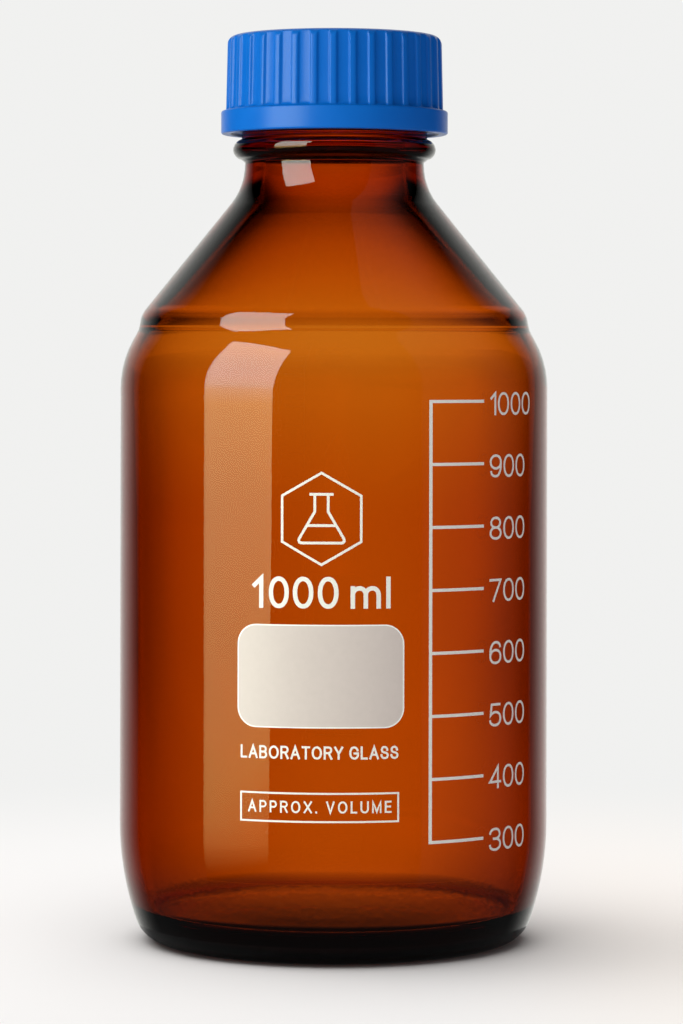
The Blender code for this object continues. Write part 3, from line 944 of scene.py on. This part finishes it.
def seen_through(tree, azimuth):
    """Surroundings as the glass sees them, by azimuth in degrees."""
    turned_by = calc(tree, "FLOORED_MODULO", calc(tree, "ADD", azimuth, 45.0), 90.0)
    stops = [((deg + 45) / 90, (v, v, v * 0.985)) for deg, v in SEEN]
    return colour_ramp(tree, calc(tree, "MULTIPLY", turned_by, 1 / 90.0), stops, 1.0)


def studio_floor():
    """Pale floor: lit and shadowed near the bottle, with painted shade and warmth there too, fading into the
    backdrop's own white farther out.
    """
    mat, nodes, links, bsdf = new_material("studio_floor")
    tree = mat.node_tree
    bsdf.inputs["Roughness"].default_value = 0.9
    bsdf.inputs["Specular IOR Level"].default_value = 0.0
    glow = nodes.new("ShaderNodeEmission")
    ray = nodes.new("ShaderNodeLightPath")
    through = ray.outputs["Is Transmission Ray"]
    at = axes(tree)
    length = nodes.new("ShaderNodeVectorMath")
    length.operation = "LENGTH"
    links.new(nodes.new("ShaderNodeTexCoord").outputs["Object"], length.inputs[0])
    out = length.outputs["Value"]  # distance from the bottle's axis

    # its own light: what camera and glass see of the floor farther out
    spread = calc(tree, "ADD", 0.45, calc(tree, "MULTIPLY", ease(tree, out, 0.06, 1.0), 0.55))
    wall = seen_through(tree, calc(tree, "MULTIPLY", azimuth_of(tree, at["X"], at["Y"]), spread))
    distant = ease(tree, out, 1.5, 9.0)
    level = calc(tree, "ADD", 0.87, calc(tree, "MULTIPLY", distant, 0.16))
    # painted shade: through the glass, the floor's glow is dimmed close to the bottle, to 0.4 at its foot
    clear = calc(tree, "ADD", 0.4, calc(tree, "MULTIPLY", ease(tree, out, 0.03, 0.12), 0.6))
    level = calc(tree, "MULTIPLY", level, clear)
    dimmed = blend_colour(tree, level, (0.0, 0.0, 0.0), wall)
    links.new(blend_colour(tree, through, BACKDROP, dimmed), glow.inputs["Color"])

    # its lit surface: the shadow side is painted a little warmer, a painted glow standing for the light that
    # reaches it through the amber glass
    # painted contact shadow: the albedo drops to 0.3 right under the bottle's foot
    under = ease(tree, out, 0.036, 0.048)
    # painted light: warmer albedo on the shadow side of the bottle
    shadow_side = ease(tree, at["X"], 0.02, 0.08)
    floor_with_painted_warmth = blend_colour(tree, shadow_side, (0.80, 0.78, 0.765), (0.84, 0.79, 0.745))
    lit = blend_colour(tree, under, (0.3, 0.29, 0.28), floor_with_painted_warmth)
    # painted reflection: to glossy rays the floor is a darker grey, and nearly black just behind the foot as
    # a painted contact shadow
    rear_reflection_shade = calc(tree, "MULTIPLY", ease(tree, at["Y"], -0.012, 0.006), ease(tree, out, 0.041, 0.049))
    mirrored = blend_colour(tree, rear_reflection_shade, (0.10, 0.10, 0.10), (0.45, 0.44, 0.43))
    links.new(blend_colour(tree, ray.outputs["Is Glossy Ray"], lit, mirrored), bsdf.inputs["Base Color"])

    # through the glass the floor glows only outside the foot, so the painted dark under it shows there
    seen_through_glass = calc(tree, "MULTIPLY", through, ease(tree, out, 0.04, 0.06))
    own_light = calc(tree, "MAXIMUM", ease(tree, out, 0.02, 0.36), seen_through_glass)
    two_shaders(tree, own_light, bsdf.outputs["BSDF"], glow.outputs["Emission"])
    return mat


def panel(name, corners, material):
    """Flat light panel from four corners in metres."""
    mesh = bpy.data.meshes.new(name)
    mesh.from_pydata([Vector(c) for c in corners], [], [(0, 1, 2, 3)])
    mesh.materials.append(material)
    ob = bpy.data.objects.new(name, mesh)
    bpy.context.scene.collection.objects.link(ob)
    return ob


def floor_piece(name, inner, outer, material):
    """Flat ring, or a disc when inner is 0, just under the standing ring."""
    bm = bmesh.new()
    rings = []
    for radius in (inner, outer):
        if radius == 0:
            rings.append([bm.verts.new((0, 0, 0))] * FLOOR_STEPS)
            continue
        angles = [TAU * i / FLOOR_STEPS for i in range(FLOOR_STEPS)]
        rings.append([bm.verts.new((radius * math.sin(a), radius * math.cos(a), 0)) for a in angles])
    for i in range(FLOOR_STEPS):
        corners = []
        for v in (rings[0][i], rings[0][i - 1], rings[1][i - 1], rings[1][i]):
            if v not in corners:
                corners.append(v)
        bm.faces.new(corners)
    mesh = bpy.data.meshes.new(name)
    bm.to_mesh(mesh)
    bm.free()
    mesh.materials.append(material)
    ob = bpy.data.objects.new(name, mesh)
    ob.location.z = -0.0001
    bpy.context.scene.collection.objects.link(ob)
    return ob


# only the floor close by shows as a reflection in the glass; farther out the world stands in for it
pale = studio_floor()
near_floor = floor_piece("near_floor", 0.0, 0.05, pale)
far_floor = floor_piece("far_floor", 0.05, 12.0, pale)
far_floor.visible_glossy = False

# surroundings: white backdrop behind, dark to both sides; what each kind of ray meets is set apart
world = bpy.data.worlds.new("studio")
bpy.context.scene.world = world
world.use_nodes = True
sky = world.node_tree
toward = axes(sky, "Generated")
turn = azimuth_of(sky, toward["X"], toward["Y"])
aside = calc(sky, "ABSOLUTE", turn)
rise = calc(sky, "MULTIPLY", calc(sky, "ARCSINE", toward["Z"]), 180 / math.pi)

# glossy rays: the bright wall behind, a weak far right side, and a little light from below
MIRRORED = (  # (degrees from straight behind, brightness)
    (0, 0.88),
    (4, 0.87),
    (7, 0.84),
    (11, 0.82),
    (16, 0.80),
    (24, 0.66),
    (34, 0.45),
    (44, 0.16),
    (52, 0),
)
stops = [(deg / 90, (v, v, v * 0.955)) for deg, v in MIRRORED]
behind = colour_ramp(sky, calc(sky, "MULTIPLY", aside, 1 / 90.0), stops, 1.0)
before_end = calc(sky, "SUBTRACT", 1.0, ease(sky, turn, 131.0, 133.5))
far_right = calc(sky, "MULTIPLY", ease(sky, turn, 55.0, 85.0), before_end)
strength = calc(sky, "ADD", 0.06, calc(sky, "MULTIPLY", ease(sky, rise, 10.0, 60.0), 0.06))
weak = calc(sky, "MULTIPLY", far_right, strength)
low = calc(sky, "SUBTRACT", 1.0, ease(sky, rise, -45.0, -12.0))
weak = calc(sky, "ADD", weak, calc(sky, "MULTIPLY", low, 0.09))
mirrored = blend_colour(sky, ease(sky, aside, 50.0, 56.0), behind, weak)
mirrored = blend_colour(sky, ease(sky, rise, -30.0, -9.0), (0.06, 0.06, 0.06), mirrored)

# rays through the glass, rays that light matt surfaces, and the camera's own
through = seen_through(sky, calc(sky, "MULTIPLY", turn, 0.65))
through = blend_colour(sky, ease(sky, rise, 3.0, 16.0), through, (0.0, 0.0, 0.0))
fill = blend_colour(sky, ease(sky, toward["X"], -0.2, 0.85), (0.50, 0.50, 0.51), (0.09, 0.09, 0.093))
path = sky.nodes.new("ShaderNodeLightPath")
seen = blend_colour(sky, path.outputs["Is Transmission Ray"], mirrored, through)
seen = blend_colour(sky, path.outputs["Is Diffuse Ray"], seen, fill)
seen = blend_colour(sky, path.outputs["Is Camera Ray"], seen, BACKDROP)
sky.links.new(seen, sky.nodes["Background"].inputs["Color"])


def bare_material(name):
    """Material without a Principled shader, for lights and cards."""
    mat = bpy.data.materials.new(name)
    mat.use_nodes = True
    mat.node_tree.nodes.remove(mat.node_tree.nodes["Principled BSDF"])
    return mat, mat.node_tree


PANEL_PEAK = 8.0


def softbox_face():
    """Light panel: neutral and bright above, warm and weaker toward the floor, soft along its far edge."""
    mat, tree = bare_material("softbox_face")
    at = axes(tree)
    height = ease(tree, at["Z"], -0.1, 0.3, smooth=False)
    stops = [
        (0.0, (1.8, 1.1, 0.3)),
        (0.09, (2.6, 1.7, 0.5)),
        (0.16, (3.2, 2.8, 0.9)),
        (0.26, (3.7, 3.1, 1.2)),
        (0.45, (4.8, 4.1, 1.8)),
        (0.56, (5.7, 4.9, 2.3)),
        (0.75, (7.0, 7.2, 6.0)),
        (1.0, (7.0, 7.2, 6.6)),
    ]
    # the glass mirrors the panel itself; the cap and the enamels see one soft colour
    sharp = tree.nodes.new("ShaderNodeLightPath").outputs["Is Singular Ray"]
    soft = blend_colour(tree, ease(tree, at["Z"], 0.66, 0.80), (0.66, 0.71, 0.57), (0.12, 0.12, 0.12))
    colour = blend_colour(tree, sharp, soft, colour_ramp(tree, height, stops, PANEL_PEAK))
    side = calc(tree, "SUBTRACT", 1.0, ease(tree, at["Y"], -0.26, -0.21))
    foot = calc(tree, "MULTIPLY", ease(tree, at["Z"], -0.2, -0.07), PANEL_PEAK)
    glow = tree.nodes.new("ShaderNodeEmission")
    tree.links.new(colour, glow.inputs["Color"])
    tree.links.new(calc(tree, "MULTIPLY", side, foot), glow.inputs["Strength"])
    tree.links.new(glow.outputs["Emission"], tree.nodes["Material Output"].inputs["Surface"])
    return mat


def aim_azimuth(deg, distance):
    """Floor point at an azimuth from the camera's direction, positive to its right."""
    a = math.radians(deg)
    return distance * math.sin(a), -distance * math.cos(a)


near = aim_azimuth(-34.0, 0.86)
near_top = aim_azimuth(-27.0, 0.945)
far = aim_azimuth(-70.6, 0.714)
key_corners = [(*near, -0.22), (*far, -0.22), (*far, 0.80), (*near_top, 0.98)]
key = panel("key_softbox", key_corners, softbox_face())
key.visible_camera = False
key.visible_transmission = False


def area_light(name, location, size, power):
    """Square light aimed at the bottle, which itself isn't seen in the glass."""
    light = bpy.data.lights.new(name, "AREA")
    light.shape = "RECTANGLE"
    light.size, light.size_y = size, size
    light.energy = power
    ob = bpy.data.objects.new(name, light)
    bpy.context.scene.collection.objects.link(ob)
    ob.location = location
    ob.rotation_euler = (Vector((0, 0, 0.1)) - Vector(location)).to_track_quat("-Z", "Y").to_euler()
    ob.visible_camera = False
    ob.visible_transmission = False
    ob.visible_glossy = False
    return ob


overhead = area_light("overhead", (-0.42, -0.1, 1.5), 2.4, 43.0)

# the key lights the bottle, the overhead panel lights the floor
no_floor = bpy.data.collections.new("not_lit_by_key")
only_floor = bpy.data.collections.new("lit_by_overhead")
for piece in (near_floor, far_floor):
    no_floor.objects.link(piece)
    only_floor.objects.link(piece)
for linked in no_floor.collection_objects:
    linked.light_linking.link_state = "EXCLUDE"
key.light_linking.receiver_collection = no_floor
overhead.light_linking.receiver_collection = only_floor


def black_and_clear(tree):
    """The two shaders of a dark card."""
    black = tree.nodes.new("ShaderNodeEmission")
    black.inputs["Strength"].default_value = 0.0
    return black.outputs["Emission"], tree.nodes.new("ShaderNodeBsdfTransparent").outputs["BSDF"]


def neck_shade_material():
    """Painted shade: a card seen only through the glass, clear at its foot, black higher up."""
    mat, tree = bare_material("neck_shade_material")
    dark = calc(tree, "MULTIPLY", calc(tree, "SUBTRACT", axes(tree)["Z"], 0.165), 1 / 0.045)
    levels = ((0.0, 0.0), (0.22, 0.14), (0.42, 0.42), (0.60, 0.7), (1.0, 0.96))
    cover = colour_ramp(tree, dark, [(at, (v, v, v)) for at, v in levels], 1.0)
    black, clear = black_and_clear(tree)
    two_shaders(tree, cover, clear, black)
    return mat


def bead_shade_material():
    """Painted shade: a card seen only through the glass, black on its upper face, clear on its lower one."""
    mat, tree = bare_material("bead_shade_shelf")
    lower_face = tree.nodes.new("ShaderNodeNewGeometry").outputs["Backfacing"]
    black, clear = black_and_clear(tree)
    two_shaders(tree, lower_face, black, clear)
    return mat


# a dark card that only rays through the glass meet, for painted shade
def shade_card(name, corners, material):
    ob = panel(name, corners, material)
    ob.visible_camera = False
    ob.visible_glossy = False
    ob.visible_diffuse = False
    ob.visible_shadow = False


# painted shade: one black card behind the neck and one level with the bead, seen only through the glass, so
# that neck and bead see less of the white wall and look darker
NECK_CARD = [(-0.09, 0.12, 0.16), (0.09, 0.12, 0.16), (0.09, 0.12, 0.26), (-0.09, 0.12, 0.26)]
SHELF_CARD = [(-0.04, 0.03, 0.160), (0.04, 0.03, 0.160), (0.05, 0.14, 0.1545), (-0.05, 0.14, 0.1545)]
shade_card("neck_shade_card", NECK_CARD, neck_shade_material())
shade_card("bead_shade_card", SHELF_CARD, bead_shade_material())

camera_data = bpy.data.cameras.new("camera")
camera_data.lens = 133.5
camera_data.sensor_width = 36.0
camera_data.shift_x = 0.0073
camera_data.shift_y = -0.153
camera_data.clip_start = 0.01
camera = bpy.data.objects.new("camera", camera_data)
camera.location = (0.0, -0.9, 0.138)
camera.rotation_euler = (math.radians(90), math.radians(-0.112), 0)
bpy.context.scene.collection.objects.link(camera)
bpy.context.scene.camera = camera
bpy.context.scene.view_settings.view_transform = "Standard"
